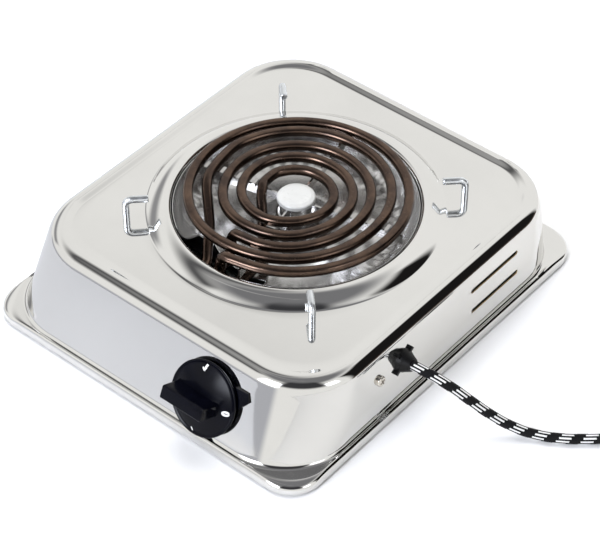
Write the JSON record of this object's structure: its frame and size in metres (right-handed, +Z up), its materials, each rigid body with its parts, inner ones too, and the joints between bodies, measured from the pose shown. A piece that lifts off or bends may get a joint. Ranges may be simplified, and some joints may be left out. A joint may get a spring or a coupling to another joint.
{
  "type": "hot plate burner",
  "caption": "Portable electric hot plate: chromed pressed housing with a raised ring, spiral heating coil over a bright bowl, wire pot rests, rotary switch knob, braided cord and plug.",
  "frame": {"origin": "centre of the hot plate's footprint, on the surface its feet stand on, measured without the cord and what is on it", "axes": "+Z up; -Y towards the knob; +X towards the side that the cord leaves"},
  "size_m": [0.498, 0.3284, 0.0787],
  "materials": {
    "chrome_shell": "mirror-bright chrome plating over pressed sheet",
    "bright_bowl": "bright polished, lightly toned by heat",
    "plated_wire": "zinc plated, slightly dull",
    "element_sheath": "heat-oxidised dark brown metal sheath with a low sheen",
    "spider_steel": "plain bright strip",
    "cap_enamel": "pale baked enamel disc",
    "black_gloss": "glossy black phenolic moulding",
    "white_marks": "white filled engraving",
    "base_steel": "galvanised sheet",
    "zinc_screws": "zinc plated fasteners",
    "nickel_screw": "nickel plated cross-head screw",
    "terminal_brass": "plain brass",
    "pin_nickel": "nickel plated brass",
    "brown_bakelite": "brown phenolic",
    "porcelain": "white glazed porcelain",
    "black_rubber": "matt black rubber",
    "lead_insulation": "glass-braid sleeved wire",
    "cord_braid": "black textile braid with groups of white flecks"
  },
  "bodies": {
    "hot_plate": {"base_brackets": "base_steel", "base_plate": "base_steel", "base_screws": "zinc_screws", "centre_cap": "cap_enamel", "centre_nut": "zinc_screws", "centre_spacer": "base_steel", "centre_stud": "zinc_screws", "coil_clips": "spider_steel", "coil_pins": "terminal_brass", "coil_spider": "spider_steel", "cord_coil": "cord_braid", "cord_grommet": "black_gloss", "cord_tail": "cord_braid", "cord_tie": "black_rubber", "earth_tag": "terminal_brass", "foot_back_left": "black_rubber", "foot_back_right": "black_rubber", "foot_front_left": "black_rubber", "foot_front_right": "black_rubber", "foot_screws": "zinc_screws", "index_ring": "black_gloss", "inner_coil": "element_sheath", "lead_earth": "lead_insulation", "lead_high": "lead_insulation", "lead_live": "lead_insulation", "lead_low": "lead_insulation", "lead_neutral": "lead_insulation", "outer_coil": "element_sheath", "plug_body": "black_rubber", "plug_pins": "pin_nickel", "pot_rest_back_left": "plated_wire", "pot_rest_back_right": "plated_wire", "pot_rest_front_left": "plated_wire", "pot_rest_front_right": "plated_wire", "pot_rest_nuts": "zinc_screws", "reflector_dish": "bright_bowl", "side_nut": "zinc_screws", "side_screw": "nickel_screw", "spider_washer": "base_steel", "supply_cord": "cord_braid", "switch_body": "brown_bakelite", "switch_cover": "base_steel", "switch_screws": "zinc_screws", "switch_terminals": "terminal_brass", "terminal_block": "porcelain", "terminal_screws": "terminal_brass", "top_housing": "chrome_shell"},
    "control": {"knob": "black_gloss", "knob_marks": "white_marks", "knob_spring_clip": "spider_steel", "switch_shaft": "base_steel", "switch_rotor": "brown_bakelite"}
  },
  "joints": [
    {"name": "knob_turn", "type": "hinge", "parent": "hot_plate", "child": "control", "pos_m": [0.0505, -0.13661, 0.0314], "axis": [0, -0.9063, 0.4226], "continuous": true}
  ]
}
